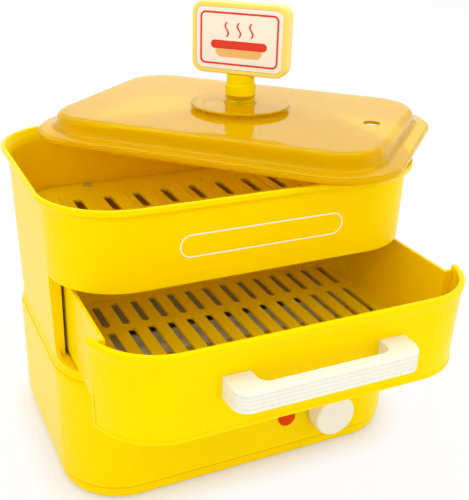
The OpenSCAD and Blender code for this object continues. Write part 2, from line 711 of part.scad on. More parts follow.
// The board, with rounded edges, a recess in front for the printed plate and a socket for the post.
module sign_board() {
    edge = 1.6;
    color([0.99, 0.87, 0.4]) place_lid() translate([0, 0, board_mid]) difference() {
        rotate([90, 0, 0]) {
            translate([0, 0, -board[2] / 2])
                rounded_slab(board[0] - 2 * edge, board[1] - 2 * edge, 9 - edge, board[2]);
            translate([0, 0, -board[2] / 2]) swept_wall(board[0], board[1], 9)
                polygon([[-8, 0], [-edge, 0], [-0.5, 0.5], [0, edge], [0, board[2] - edge],
                    [-0.5, board[2] - 0.5], [-edge, board[2]], [-8, board[2]]]);
        }
        translate([0, -board[2] / 2 - 1, 0]) rotate([90, 0, 0]) translate([0, 0, -2.2])
            rounded_slab(board[0] - 7, board[1] - 7, 6, 5);
        translate([0, 0, -board[1] / 2 - 1]) cylinder(r = 5.05, h = 13.4, $fn = small_fn);
    }
}

module sign_face() {
    color(cream) place_lid() translate([0, -board[2] / 2 + 1.2, board_mid]) rotate([90, 0, 0])
        rounded_slab(board[0] - 7.4, board[1] - 7.4, 5.8, 1);
}

module post_washer() {
    color(metal) place_lid() translate([0, 0, 18.1]) difference() {
        cylinder(r = 6, h = 1.05, $fn = small_fn);
        translate([0, 0, -1]) cylinder(r = 2.4, h = 4, $fn = small_fn);
    }
}

module post_screw() {
    color(metal) place_lid() translate([0, 0, 15.9]) screw(4, 2.2, 2, 17);
}

base_shell();
base_plate();
rubber_feet();
base_screws();
steam_housing();
bun_rack();
rack_screws();
drip_tray();
water_tank();
heating_plate();
heating_element();
plate_seal();
heater_clamp();
clamp_screws();
thermostat();
thermal_fuse();
timer_switch();
switch_nut();
knob_shaft();
control_knob();
indicator_lens();
lamp_holder();
lamp_bulb();
terminal_block();
cord_inlet();
hookup_wires();
drawer_tray();
drawer_handle();
handle_screws();
lid_shell();
sign_post();
sign_board();
sign_face();
post_washer();
post_screw();
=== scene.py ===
import json
import math
import bmesh
import bpy
from mathutils import Matrix, Vector


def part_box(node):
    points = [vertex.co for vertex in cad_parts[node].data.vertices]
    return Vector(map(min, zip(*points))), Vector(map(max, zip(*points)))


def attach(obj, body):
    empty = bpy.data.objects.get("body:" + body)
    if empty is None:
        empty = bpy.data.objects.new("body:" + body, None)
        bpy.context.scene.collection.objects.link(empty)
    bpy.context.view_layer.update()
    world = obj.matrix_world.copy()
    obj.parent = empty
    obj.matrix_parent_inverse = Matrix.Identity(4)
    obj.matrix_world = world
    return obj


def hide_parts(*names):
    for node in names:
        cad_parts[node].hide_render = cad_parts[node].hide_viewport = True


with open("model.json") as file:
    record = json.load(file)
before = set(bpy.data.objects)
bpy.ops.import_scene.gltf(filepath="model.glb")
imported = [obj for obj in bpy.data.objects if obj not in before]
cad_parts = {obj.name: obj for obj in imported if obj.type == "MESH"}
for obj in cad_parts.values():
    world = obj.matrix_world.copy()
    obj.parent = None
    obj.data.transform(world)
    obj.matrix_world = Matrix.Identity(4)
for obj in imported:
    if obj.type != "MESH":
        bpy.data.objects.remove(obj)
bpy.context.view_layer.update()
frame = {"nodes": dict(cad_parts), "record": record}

mm = 0.001
print("frame loaded:", len(frame["nodes"]), "nodes")

# The camera stands left of the front and looks down on the rim, as in the photograph.
cameraSetup = {
    "place": (-234.3, -544.6, 407.6),    # mm from the middle of the base
    "turn": 0.448,                       # radians to the right of straight back
    "dip": 0.421,                        # radians below level
    "roll": 0.029,
    "focal": 799.1,                      # in pixels of the 469 x 500 picture
    "pictureHeight": 500,
    "sensor": 36.0,
}


def placeCamera(setup):
    turn, dip, roll = setup["turn"], setup["dip"], setup["roll"]
    ahead = Vector((math.sin(turn) * math.cos(dip), math.cos(turn) * math.cos(dip), -math.sin(dip)))
    levelRight = Vector((math.cos(turn), -math.sin(turn), 0))
    levelUp = levelRight.cross(ahead)
    right = levelRight * math.cos(roll) + levelUp * math.sin(roll)
    up = levelUp * math.cos(roll) - levelRight * math.sin(roll)
    bpy.ops.object.camera_add()
    camera = bpy.context.object
    camera.name = "camera"
    place = Vector(setup["place"]) * mm
    camera.matrix_world = Matrix.Translation(place) @ Matrix((right, up, -ahead)).transposed().to_4x4()
    camera.data.sensor_width = setup["sensor"]
    camera.data.lens = setup["focal"] * setup["sensor"] / setup["pictureHeight"]
    camera.data.clip_start = 0.01
    bpy.context.scene.camera = camera


placeCamera(cameraSetup)
print("camera placed")

# Stage: a white floor that shows white to the camera and in reflections, and keeps the shadow.
stageLook = {
    "floorSize": 8.0,             # metres
    "floorGrey": 0.9,
    "footCorner": 0.0485,         # radius of the foot's corners, in metres
    "whiteShare": (0.3, 0.9),     # how much of the floor is plain white where it is seen, near and far
    "whiteReach": 0.024,          # how far from the foot the second share is reached, in metres
    "roomLight": 0.85,
    "backdrop": 1.0,
}

# name: place, aim, width, height (m) and power (W)
lamps = {
    "key": ((-1.1, -1.5, 1.5), (0, 0, 0.12), 1.2, 1.2, 7),
    "side": ((-1.7, 0.25, 0.75), (0, 0, 0.12), 1.0, 1.0, 2),
    "right": ((1.5, -1.1, 0.9), (0, 0, 0.12), 1.2, 1.2, 4),
    "top": ((0.1, 0.5, 1.9), (0, 0, 0.2), 1.4, 1.4, 12),
    "low": ((0.25, -1.9, 0.35), (0, 0, 0.1), 1.4, 0.6, 2.5),
    "back": ((0.75, 1.5, 0.85), (0, 0, 0.23), 1.8, 1.0, 2),
}


def newMaterial(name):
    material = bpy.data.materials.new(name)
    material.use_nodes = True
    tree = material.node_tree
    tree.nodes.clear()
    output = tree.nodes.new("ShaderNodeOutputMaterial")
    return material, tree, output


def joinValues(tree, operation, first, second):
    node = tree.nodes.new("ShaderNodeMath")
    node.operation = operation
    tree.links.new(first, node.inputs[0])
    tree.links.new(second, node.inputs[1])
    return node.outputs[0]


def seenRays(tree):
    path = tree.nodes.new("ShaderNodeLightPath")
    direct = joinValues(tree, "MAXIMUM", path.outputs["Is Camera Ray"], path.outputs["Is Glossy Ray"])
    return joinValues(tree, "MAXIMUM", direct, path.outputs["Is Transmission Ray"])


# Distance from the foot's straight middle: fold, shift by the straight halves, cut at zero, measure.
def footDistance(tree, corner):
    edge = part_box("base_shell")[1]
    straight = (edge.x - corner, edge.y - corner, 0)
    steps = (("ABSOLUTE", None), ("SUBTRACT", straight), ("MAXIMUM", (0, 0, 0)), ("LENGTH", None))
    last = tree.nodes.new("ShaderNodeTexCoord").outputs["Object"]
    for step, other in steps:
        node = tree.nodes.new("ShaderNodeVectorMath")
        node.operation = step
        tree.links.new(last, node.inputs[0])
        if other:
            node.inputs[1].default_value = other
        last = node.outputs[0]
    return node.outputs["Value"]


def buildFloor(look):
    bpy.ops.mesh.primitive_plane_add(size=look["floorSize"], location=(0, 0, 0))
    floor = bpy.context.object
    floor.name = "floor"
    material, tree, output = newMaterial("floor_white")
    matte = tree.nodes.new("ShaderNodeBsdfDiffuse")
    matte.inputs["Color"].default_value = (look["floorGrey"],) * 3 + (1,)
    white = tree.nodes.new("ShaderNodeEmission")
    corner = look["footCorner"]
    fade = tree.nodes.new("ShaderNodeMapRange")
    fade.inputs["From Min"].default_value = corner
    fade.inputs["From Max"].default_value = corner + look["whiteReach"]
    fade.inputs["To Min"].default_value, fade.inputs["To Max"].default_value = look["whiteShare"]
    tree.links.new(footDistance(tree, corner), fade.inputs["Value"])
    share = joinValues(tree, "MULTIPLY", seenRays(tree), fade.outputs["Result"])
    mixShaders(tree, share, matte, white, output)
    floor.data.materials.append(material)


def mixShaders(tree, share, first, second, output):
    mix = tree.nodes.new("ShaderNodeMixShader")
    tree.links.new(share, mix.inputs[0])
    tree.links.new(first.outputs[0], mix.inputs[1])
    tree.links.new(second.outputs[0], mix.inputs[2])
    tree.links.new(mix.outputs[0], output.inputs["Surface"])


def buildRoom(look):
    world = bpy.data.worlds.new("studio")
    bpy.context.scene.world = world
    world.use_nodes = True
    tree = world.node_tree
    tree.nodes.clear()
    output = tree.nodes.new("ShaderNodeOutputWorld")
    room = tree.nodes.new("ShaderNodeBackground")
    backdrop = tree.nodes.new("ShaderNodeBackground")
    for light, strength in ((room, look["roomLight"]), (backdrop, look["backdrop"])):
        light.inputs["Color"].default_value = (1, 1, 1, 1)
        light.inputs["Strength"].default_value = strength
    path = tree.nodes.new("ShaderNodeLightPath")
    mixShaders(tree, path.outputs["Is Camera Ray"], room, backdrop, output)


def buildLamps(setup):
    for name, (place, aim, width, height, power) in setup.items():
        bpy.ops.object.light_add(type="AREA", location=place)
        lamp = bpy.context.object
        lamp.name = name + "_light"
        lamp.data.shape = "RECTANGLE"
        lamp.data.size = width
        lamp.data.size_y = height
        lamp.data.energy = power
        lamp.rotation_euler = (Vector(aim) - Vector(place)).to_track_quat("-Z", "Y").to_euler()


buildFloor(stageLook)
buildRoom(stageLook)
buildLamps(lamps)
bpy.context.scene.view_settings.view_transform = "Standard"
print("stage and lamps built")

# Finishes: one material for each slot of the record, and the inks. Grain and glowDepth are in mm.
finishes = {
    "yellow_plastic": {"colour": (1.0, 0.7, 0.0), "roughness": 0.24, "grain": 0.02, "specular": 0.06,
                       "tint": (1, 0.8, 0.1), "glow": 0.3, "glowColour": (1.0, 0.7, 0.1), "glowDepth": 4},
    "cream_plastic": {"colour": (0.84, 0.82, 0.71), "roughness": 0.34, "grain": 0.02, "specular": 0.3},
    "white_plastic": {"colour": (0.85, 0.83, 0.76), "roughness": 0.45, "grain": 0.02, "specular": 0.4},
    "sign_yellow": {"colour": (0.98, 0.74, 0.13), "roughness": 0.3, "grain": 0.02, "specular": 0.4},
    "sign_print": {"colour": (0.93, 0.87, 0.74), "roughness": 0.4, "grain": 0.01, "specular": 0.4},
    "black_plastic": {"colour": (0.02, 0.02, 0.021), "roughness": 0.42, "grain": 0.03, "specular": 0.5},
    "foot_rubber": {"colour": (0.018, 0.018, 0.019), "roughness": 0.75, "grain": 0.05, "specular": 0.4},
    "seal_rubber": {"colour": (0.42, 0.05, 0.03), "roughness": 0.6, "grain": 0.04, "specular": 0.4},
    "wire_cover": {"colour": (0.72, 0.70, 0.64), "roughness": 0.5, "grain": 0.03, "specular": 0.4},
    "steel": {"colour": (0.66, 0.67, 0.69), "roughness": 0.3, "grain": 0.02, "metal": True},
    "tank_steel": {"colour": (0.72, 0.73, 0.74), "roughness": 0.32, "grain": 0.03, "metal": True},
    "aluminium": {"colour": (0.75, 0.76, 0.77), "roughness": 0.42, "grain": 0.05, "metal": True},
    "brass": {"colour": (0.72, 0.5, 0.2), "roughness": 0.3, "grain": 0.02, "metal": True},
}
clearFinishes = {
    "clear_amber": {"colour": (0.98, 0.66, 0.0), "roughness": 0.07, "through": 0.6, "bend": 1.3},
    "lamp_red": {"colour": (0.92, 0.075, 0.0), "roughness": 0.12, "through": 0.3, "bend": 1.3},
    "lamp_glass": {"colour": (1.0, 0.75, 0.5), "roughness": 0.05, "through": 0.9, "bend": 1.45},
}
inks = {"ink_red": (0.78, 0.035, 0.01), "ink_bun": (0.86, 0.5, 0.16), "ink_cream": (0.97, 0.93, 0.78)}
inkLook = {"roughness": 0.4, "grain": 0.001, "specular": 0.3}

# Unevenness: scales of the noise, and how far it moves the colour and the gloss.
unevenness = {
    "drift": 9, "driftShare": (0.975, 1.01), "fine": 320, "gloss": 0.03, "waves": 42, "waveStrength": 0.5,
    "clear": 60, "clearGloss": 0.3, "clearSpecular": 0.15,
}


def addNoise(tree, scale, detail):
    place = tree.nodes.new("ShaderNodeTexCoord")
    noise = tree.nodes.new("ShaderNodeTexNoise")
    noise.inputs["Scale"].default_value = scale
    noise.inputs["Detail"].default_value = detail
    tree.links.new(place.outputs["Object"], noise.inputs["Vector"])
    return noise.outputs["Fac"]


# Fine unevenness of the gloss.
def varyRoughness(tree, shader, scale, low, high):
    gloss = tree.nodes.new("ShaderNodeMapRange")
    gloss.inputs["To Min"].default_value = low
    gloss.inputs["To Max"].default_value = high
    tree.links.new(addNoise(tree, scale, 3), gloss.inputs["Value"])
    tree.links.new(gloss.outputs["Result"], shader.inputs["Roughness"])


def plainFinish(name, look):
    material, tree, output = newMaterial(name)
    shader = tree.nodes.new("ShaderNodeBsdfPrincipled")

    # Slow drift of the colour, as moulded or plated surfaces have.
    ramp = tree.nodes.new("ShaderNodeValToRGB")
    for element, position, share in zip(ramp.color_ramp.elements, (0.3, 0.7), unevenness["driftShare"]):
        element.position = position
        element.color = tuple(min(1, c * share) for c in look["colour"]) + (1,)
    tree.links.new(addNoise(tree, unevenness["drift"], 3), ramp.inputs["Fac"])
    tree.links.new(ramp.outputs["Color"], shader.inputs["Base Color"])

    spread = unevenness["gloss"]
    varyRoughness(tree, shader, unevenness["fine"], look["roughness"] - spread, look["roughness"] + spread)

    # Long shallow waves of the surface.
    relief = tree.nodes.new("ShaderNodeBump")
    relief.inputs["Strength"].default_value = unevenness["waveStrength"]
    relief.inputs["Distance"].default_value = look["grain"] * mm
    tree.links.new(addNoise(tree, unevenness["waves"], 1), relief.inputs["Height"])
    tree.links.new(relief.outputs["Normal"], shader.inputs["Normal"])
    if look.get("metal"):
        shader.inputs["Metallic"].default_value = 1.0
    else:
        shader.inputs["Specular IOR Level"].default_value = look["specular"]
        shader.inputs["Specular Tint"].default_value = look.get("tint", (1, 1, 1)) + (1,)
    if look.get("glow"):
        shader.inputs["Subsurface Weight"].default_value = look["glow"]
        shader.inputs["Subsurface Radius"].default_value = look["glowColour"]
        shader.inputs["Subsurface Scale"].default_value = look["glowDepth"] * mm
    tree.links.new(shader.outputs[0], output.inputs["Surface"])
    return material


def clearFinish(name, look):
    material, tree, output = newMaterial(name)
    shader = tree.nodes.new("ShaderNodeBsdfPrincipled")
    roughness, spread = look["roughness"], unevenness["clearGloss"]
    varyRoughness(tree, shader, unevenness["clear"], roughness * (1 - spread), roughness * (1 + spread))
    shader.inputs["Base Color"].default_value = look["colour"] + (1,)
    shader.inputs["Transmission Weight"].default_value = look["through"]
    shader.inputs["IOR"].default_value = look["bend"]
    shader.inputs["Specular IOR Level"].default_value = unevenness["clearSpecular"]
    shader.inputs["Specular Tint"].default_value = look["colour"] + (1,)
    tree.links.new(shader.outputs[0], output.inputs["Surface"])
    return material


materials = {name: plainFinish(name, look) for name, look in finishes.items()}
materials.update({name: clearFinish(name, look) for name, look in clearFinishes.items()})
materials.update({name: plainFinish(name, {"colour": colour, **inkLook}) for name, colour in inks.items()})

for part in frame["record"]["subparts"]:
    node = frame["nodes"][part["node"]]
    node.data.materials.clear()
    node.data.materials.append(materials[part["material_slot"]])
print("finishes built:", len(materials))

# Modelling helpers. Lengths are in millimetres, and heights are above the table.
pointGap = 0.002      # points nearer than this are one point
mirrorGap = 0.005     # the same where two mirrored halves meet
levelGap = 0.01       # slack when points are picked by their height


def pickPoints(test):
    mesh = bmesh.from_edit_mesh(bpy.context.object.data)
    for part in [*mesh.verts, *mesh.edges, *mesh.faces]:
        part.select_set(False)
    for point in mesh.verts:
        point.select_set(test(point.co / mm))
    mesh.select_flush_mode()
    bmesh.update_edit_mesh(bpy.context.object.data)


def near(a, b):
    return (Vector(a) - Vector(b)).length < pointGap


def editAll(piece):
    bpy.ops.object.select_all(action="DESELECT")
    piece.select_set(True)
    bpy.context.view_layer.objects.active = piece
    bpy.ops.object.mode_set(mode="EDIT")
    bpy.ops.mesh.select_all(action="SELECT")


# Merges doubled points and turns all faces outward.
def faceOutward(piece):
    editAll(piece)
    bpy.ops.mesh.remove_doubles(threshold=pointGap * mm)
    bpy.ops.mesh.normals_make_consistent(inside=False)
    bpy.ops.object.mode_set(mode="OBJECT")


def useModifier(piece, kind, **settings):
    modifier = piece.modifiers.new(kind.lower(), kind)
    for name, value in settings.items():
        setattr(modifier, name, value)
    bpy.context.view_layer.objects.active = piece
    bpy.ops.object.modifier_apply(modifier=modifier.name)


# Draws a line of corners (x, y, z, cut): each corner is rounded from that far along its two sides.
def drawOutline(name, points, rounding=6, closed=True):
    bpy.ops.object.select_all(action="DESELECT")
    bpy.ops.mesh.primitive_plane_add(size=2 * mm)
    piece = bpy.context.object
    piece.name = name
    bpy.ops.object.mode_set(mode="EDIT")
    bpy.ops.mesh.merge(type="CENTER")
    corners = [Vector(point[:3]) for point in points]
    bpy.ops.transform.translate(value=corners[0] * mm)
    for here, after in zip(corners, corners[1:]):
        bpy.ops.mesh.extrude_region_move(TRANSFORM_OT_translate={"value": (after - here) * mm})
    if closed:
        pickPoints(lambda p: near(p, corners[0]) or near(p, corners[-1]))
        bpy.ops.mesh.edge_face_add()
    for corner, point in zip(corners, points):
        if point[3] > 0:
            pickPoints(lambda p: near(p, corner))
            bpy.ops.mesh.bevel(offset=point[3] * mm, segments=rounding, affect="VERTICES")
    return piece


# Sweeps a section of (outward, height, cut) round a rounded rectangle.
def sweepWall(name, width, depth, corner, section, steps=18, bothEnds=True, closed=True):
    points = [(width / 2 + out, 0, height, cut) for out, height, cut in section]
    piece = drawOutline(name, points, 5, closed)
    side = depth / 2 - corner
    front = width / 2 - corner
    bpy.ops.mesh.select_all(action="SELECT")
    bpy.ops.mesh.extrude_region_move(TRANSFORM_OT_translate={"value": (0, -side * mm, 0)})
    bpy.ops.mesh.spin(steps=steps, angle=math.pi / 2, center=(front * mm, -side * mm, 0), axis=(0, 0, 1))
    bpy.ops.mesh.extrude_region_move(TRANSFORM_OT_translate={"value": (-front * mm, 0, 0)})
    bpy.ops.object.mode_set(mode="OBJECT")
    useModifier(piece, "MIRROR", use_axis=(True, bothEnds, False), merge_threshold=mirrorGap * mm)
    faceOutward(piece)
    return piece


# Closes the level openings that a swept wall leaves in the middle at some heights.
def closeLevels(piece, heights, halfX, halfY):
    for height in heights:
        editAll(piece)
        pickPoints(lambda p: abs(p.z - height) < levelGap
                   and abs(p.x) < halfX + levelGap and abs(p.y) < halfY + levelGap)
        bpy.ops.mesh.edge_face_add()
        bpy.ops.object.mode_set(mode="OBJECT")
    faceOutward(piece)


# Extrudes a plan of corners (x, y, cut) from one height to another.
def addPlate(name, plan, low, high, rounding=8):
    piece = drawOutline(name, [(x, y, low, cut) for x, y, cut in plan], rounding)
    bpy.ops.mesh.select_all(action="SELECT")
    bpy.ops.mesh.edge_face_add()
    bpy.ops.mesh.extrude_region_move(TRANSFORM_OT_translate={"value": (0, 0, (high - low) * mm)})
    bpy.ops.object.mode_set(mode="OBJECT")
    faceOutward(piece)
    return piece


def roundedPlan(width, depth, corner, x=0, y=0):
    return [(x + width / 2, y - depth / 2, corner), (x + width / 2, y + depth / 2, corner),
            (x - width / 2, y + depth / 2, corner), (x - width / 2, y - depth / 2, corner)]


# Turns a profile of (radius, height, cut) round the upright axis. It starts and ends on the axis.
def turnProfile(name, profile, steps=64, rounding=5):
    piece = drawOutline(name, [(radius, 0, height, cut) for radius, height, cut in profile], rounding, False)
    bpy.ops.mesh.select_all(action="SELECT")
    bpy.ops.mesh.spin(steps=steps, angle=2 * math.pi, center=(0, 0, 0), axis=(0, 0, 1))
    bpy.ops.object.mode_set(mode="OBJECT")
    faceOutward(piece)
    return piece


def addRod(name, radius, low, high, x=0, y=0, steps=40):
    piece = turnProfile(name, [(0, low, 0), (radius, low, 0), (radius, high, 0), (0, high, 0)], steps)
    moveMesh(piece, x, y, 0)
    return piece


def moveMesh(piece, x, y, z):
    piece.data.transform(Matrix.Translation(Vector((x, y, z)) * mm))


def turnMesh(piece, degrees, axis):
    piece.data.transform(Matrix.Rotation(math.radians(degrees), 4, axis))


# A rod turned from upright to lie along Y, towards the front at 90 degrees and the back at -90.
def addCrossRod(name, radius, low, high, x, z, steps, degrees=90):
    rod = addRod(name, radius, low, high, steps=steps)
    turnMesh(rod, degrees, "X")
    moveMesh(rod, x, 0, z)
    return rod


def fourCorners(x, y):
    return [(x * a, y * b) for a in (-1, 1) for b in (-1, 1)]


def evenly(pitch, count):
    return [pitch * (i - (count - 1) / 2) for i in range(count)]


# A copy with its own mesh, mirrored in X where flip is set, and moved.
def copyPiece(piece, x=0, y=0, z=0, flip=False):
    twin = piece.copy()
    twin.data = piece.data.copy()
    bpy.context.scene.collection.objects.link(twin)
    if flip:
        twin.data.transform(Matrix.Diagonal((-1, 1, 1, 1)))
        faceOutward(twin)
    moveMesh(twin, x, y, z)
    return twin


def joinPieces(pieces):
    bpy.ops.object.select_all(action="DESELECT")
    for piece in pieces:
        piece.select_set(True)
    bpy.context.view_layer.objects.active = pieces[0]
    bpy.ops.object.join()
    return pieces[0]


def withMirror(piece):
    return joinPieces([copyPiece(piece, flip=True), piece])


def combine(piece, other, how="UNION"):
    useModifier(piece, "BOOLEAN", object=other, operation=how, solver="EXACT")
    bpy.data.objects.remove(other, do_unlink=True)
    faceOutward(piece)


def cutAway(piece, *others):
    combine(piece, joinPieces(list(others)), "DIFFERENCE")


# Cuts a piece flat at a point and closes it, dropping what lies beyond.
def trim(piece, point, beyond):
    editAll(piece)
    bpy.ops.mesh.bisect(plane_co=Vector(point) * mm, plane_no=beyond, use_fill=True, clear_outer=True)
    bpy.ops.object.mode_set(mode="OBJECT")
    faceOutward(piece)


def softenEdges(piece, width, angle=40, segments=2):
    useModifier(piece, "BEVEL", width=width * mm, segments=segments, limit_method="ANGLE",
                angle_limit=math.radians(angle), use_clamp_overlap=True, harden_normals=False)
    faceOutward(piece)


def finishPiece(piece, body, slot, *nodes, smooth=35):
    editAll(piece)
    bpy.ops.object.mode_set(mode="OBJECT")
    bpy.ops.object.transform_apply(location=True, rotation=True, scale=True)
    bpy.ops.object.shade_smooth_by_angle(angle=math.radians(smooth))
    useModifier(piece, "WEIGHTED_NORMAL", keep_sharp=True)
    if not piece.data.materials:
        piece.data.materials.append(materials[slot])
    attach(piece, body)
    if nodes:
        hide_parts(*nodes)
    print("built", piece.name, "with", len(piece.data.polygons), "faces")
    return piece


# Steam housing: tapered wall with a flared rim, and an opening that wraps round both front corners.
housing = {
    "rimOut": 7.8, "wall": 2.6, "corner": 48.5, "lean": 2.8, "foot": 97.5, "sillTop": 104, "headLow": 168.2,
    "openingEnd": -54, "openingCorner": 8, "shelf": 2.5,    # shelf: thickness of the sill, head and ledge
    "returnIn": 129.5, "jambGap": 0.04, "ledgeTop": 173.3, "screwBoss": (70, 89.8, 3.6), "soft": 0.35,
}


def buildHousing(look):
    low, high = (Vector(corner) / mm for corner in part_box("steam_housing"))
    width = high.x - low.x - 2 * look["rimOut"]
    depth = high.y - low.y - 2 * look["rimOut"]
    top, foot, wall, corner = high.z, look["foot"], look["wall"], look["corner"]
    end, sill, head = look["openingEnd"], look["sillTop"], look["headLow"]
    ledge, shelf = look["ledgeTop"], look["shelf"]
    piece = sweepWall("housing", width, depth, corner, [
        (-wall, foot, 0.4), (1.5, foot, 0.6), (1.5, foot + 2, 1.2), (0.15, foot + 6.2, 2),
        (look["lean"] + 0.1, top - 6.4, 3), (look["rimOut"], top - 4.4, 1.4), (look["rimOut"], top, 1),
        (5.1, top, 1), (0.45, top - 7.4, 3.4), (-wall, foot + 7, 0)])
    lintel = sweepWall("lintel", width, depth, corner, [
        (-0.2, head - 0.1, 0), (-0.2, head + shelf - 0.1, 0), (-6, head + shelf - 0.1, 0.6), (-6, head, 0.6)])
    trim(lintel, (0, end + wall, 0), (0, 1, 0))
    combine(piece, lintel)

    # The opening is drawn lying down, as (y, z), and then stood up across the housing.
    window = addPlate("window", [
        (-200, sill, 0), (end, sill, look["openingCorner"]), (end, head, 0), (-200, head, 0)], -200, 200)
    window.data.transform(Matrix(((0, 0, 1, 0), (1, 0, 0, 0), (0, 1, 0, 0), (0, 0, 0, 1))))
    cutAway(piece, window)
    sillShelf = sweepWall("sill", width, depth, corner, [
        (-0.8, sill - shelf - 0.1, 0), (-0.8, sill - 0.1, 0.5), (-9, sill - 0.15, 0.6),
        (-9, sill - shelf - 0.1, 0)])
    trim(sillShelf, (0, end + wall, 0), (0, 1, 0))
    combine(piece, sillShelf)
    combine(piece, sweepWall("ledge", width, depth, corner, [
        (-0.3, ledge - shelf, 0), (-0.3, ledge, 0), (-7, ledge, 0.4), (-7, ledge - 1.4, 0.4)]))
    inner, outer = look["returnIn"], width / 2 - 0.4
    front, back = end + look["jambGap"], end + wall - 0.1
    jamb = addPlate("jamb", [(inner, front, 0), (outer, front, 0), (outer, back, 0), (inner, back, 0.6)],
                    sill - shelf, head + shelf - 0.2, 3)
    combine(piece, withMirror(jamb))
    x, y, r = look["screwBoss"]
    bosses = [addRod("boss", r, ledge - 5, ledge - 0.02, *spot, 24) for spot in fourCorners(x, y)]
    combine(piece, joinPieces(bosses))
    softenEdges(piece, look["soft"])
    return finishPiece(piece, "base", "yellow_plastic", "steam_housing")


buildHousing(housing)

# Base casing: soft-shouldered wall, deck with the tank opening, locating rib, drawer runners and posts.
baseCasing = {
    "corner": 48.5, "wall": 2.6, "plinthTop": 11.4, "top": 97.5, "shoulder": 3.6, "deckIn": 12,
    "houseInset": 2.5, "rib": (3, 5, 3.5),    # where its faces stand within the housing, and its height
    "tankOpening": (202, 132, 19), "runner": (118, -72, 80, 105.3, 4),
    "post": (112, 76, 12.2, 5), "screwHole": (1.85, 17),
    "knobHole": (63, 38, 5), "lampHole": (27, 38, 5.6), "inletHole": (-60, 30, 6.5), "soft": 0.3,
}


def buildBaseCasing(look):
    low, high = (Vector(corner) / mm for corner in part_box("base_shell"))
    width, depth = high.x - low.x, high.y - low.y
    wall, top, foot, deckIn = look["wall"], look["top"], look["plinthTop"], look["deckIn"]
    deck = top - wall
    piece = sweepWall("base_casing", width, depth, look["corner"], [
        (-deckIn, top, 0), (0, top, look["shoulder"]), (0, foot, 0.8), (-5, foot, 0.3), (-5, foot + 2, 0.3),
        (-wall, foot + 2, 0), (-wall, deck, 0.5), (-deckIn, deck, 0)], closed=False)
    closeLevels(piece, (top, deck), width / 2 - deckIn, depth / 2 - deckIn)
    inset = look["houseInset"]
    outer, inner, rise = look["rib"]
    rib = sweepWall("rib", width - 2 * inset, depth - 2 * inset, look["corner"], [
        (-outer, deck + 1, 0), (-outer, top + rise, 0.4), (-inner, top + rise, 0.4), (-inner, deck + 1, 0)])
    combine(piece, rib)
    x, front, back, height, thick = look["runner"]
    plan = roundedPlan(thick, back - front, 0.6, x, (front + back) / 2)
    runner = addPlate("runner", plan, deck + 1, height, 3)
    combine(piece, joinPieces([copyPiece(runner, x=-2 * x), runner]))
    x, y, low, r = look["post"]
    spots = fourCorners(x, y)
    combine(piece, joinPieces([addRod("post", r, low, deck + 1, *spot, 32) for spot in spots]))
    cutters = [addPlate("opening", roundedPlan(*look["tankOpening"]), deck - 5, top + 5)]
    r, deep = look["screwHole"]
    cutters += [addRod("hole", r, low - 1, low + deep, *spot, 24) for spot in spots]
    for name, degrees in (("knobHole", 90), ("lampHole", 90), ("inletHole", -90)):
        x, z, r = look[name]
        cutters.append(addCrossRod("hole", r, depth / 2 - 6, depth / 2 + 4, x, z, 40, degrees))
    cutAway(piece, *cutters)
    softenEdges(piece, look["soft"])
    return finishPiece(piece, "base", "yellow_plastic", "base_shell")


# Plinth: the shallow tray under the casing, with a groove under its top, feet recesses and floor vents.
plinth = {
    "corner": 46.5, "foot": 1.5, "top": 11.4, "floor": 2.5, "wider": 3.5, "rim": 5, "floorIn": 30,
    "groove": (1.6, 2.4, 3), "post": (112, 76, 12.2, 6), "screwHole": 2.1, "counterbore": (4, 4.5),
    "footAt": (100, 64, 8.3), "vent": (4, 44, 11, 7), "soft": 0.25,
}


def buildPlinth(look):
    low, high = (Vector(corner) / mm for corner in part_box("base_plate"))
    width, depth = high.x - low.x + look["wider"], high.y - low.y + look["wider"]
    foot, top, rim, floorIn = look["foot"], look["top"], look["rim"], look["floorIn"]
    inner = foot + look["floor"]
    deep, grooveHigh, slopeHigh = look["groove"]
    piece = sweepWall("plinth", width, depth, look["corner"], [
        (-floorIn, foot, 0), (0, foot, 1.1), (0, top - slopeHigh, 0.8), (-deep, top - grooveHigh, 0.8),
        (-deep, top, 0), (-rim, top, 0.5), (-rim, inner, 0.6), (-floorIn, inner, 0)], closed=False)
    closeLevels(piece, (foot, inner), width / 2 - floorIn, depth / 2 - floorIn)
    x, y, high, r = look["post"]
    spots = fourCorners(x, y)
    combine(piece, joinPieces([addRod("post", r, foot + 1, high, *spot, 32) for spot in spots]))
    cutters = [addRod("hole", look["screwHole"], -5, 30, *spot, 24) for spot in spots]
    x, y, r = look["footAt"]
    cutters += [addRod("recess", r, foot - 2, foot + 1, *spot, 40) for spot in fourCorners(x, y)]
    w, length, pitch, count = look["vent"]
    cutters += [addPlate("vent", roundedPlan(w, length, w / 2 - 0.1, x), -2, 8, 5)
                for x in evenly(pitch, count)]
    cutAway(piece, *cutters)
    r, deep = look["counterbore"]
    cutAway(piece, *[addRod("counterbore", r, foot - 1, foot + deep, *spot, 32) for spot in spots])
    softenEdges(piece, look["soft"])
    return finishPiece(piece, "base", "yellow_plastic", "base_plate")


# Bun rack: slotted shelf with stiffening ribs.
rack = {
    "corner": 46.8, "thick": 2.5, "edge": 0.5, "rib": (2, 136, 2.5, 25, 9), "slot": (7, 34, 25, 8, 44, 3),
    "screw": (70, 89.8, 1.7), "soft": 0.3,
}


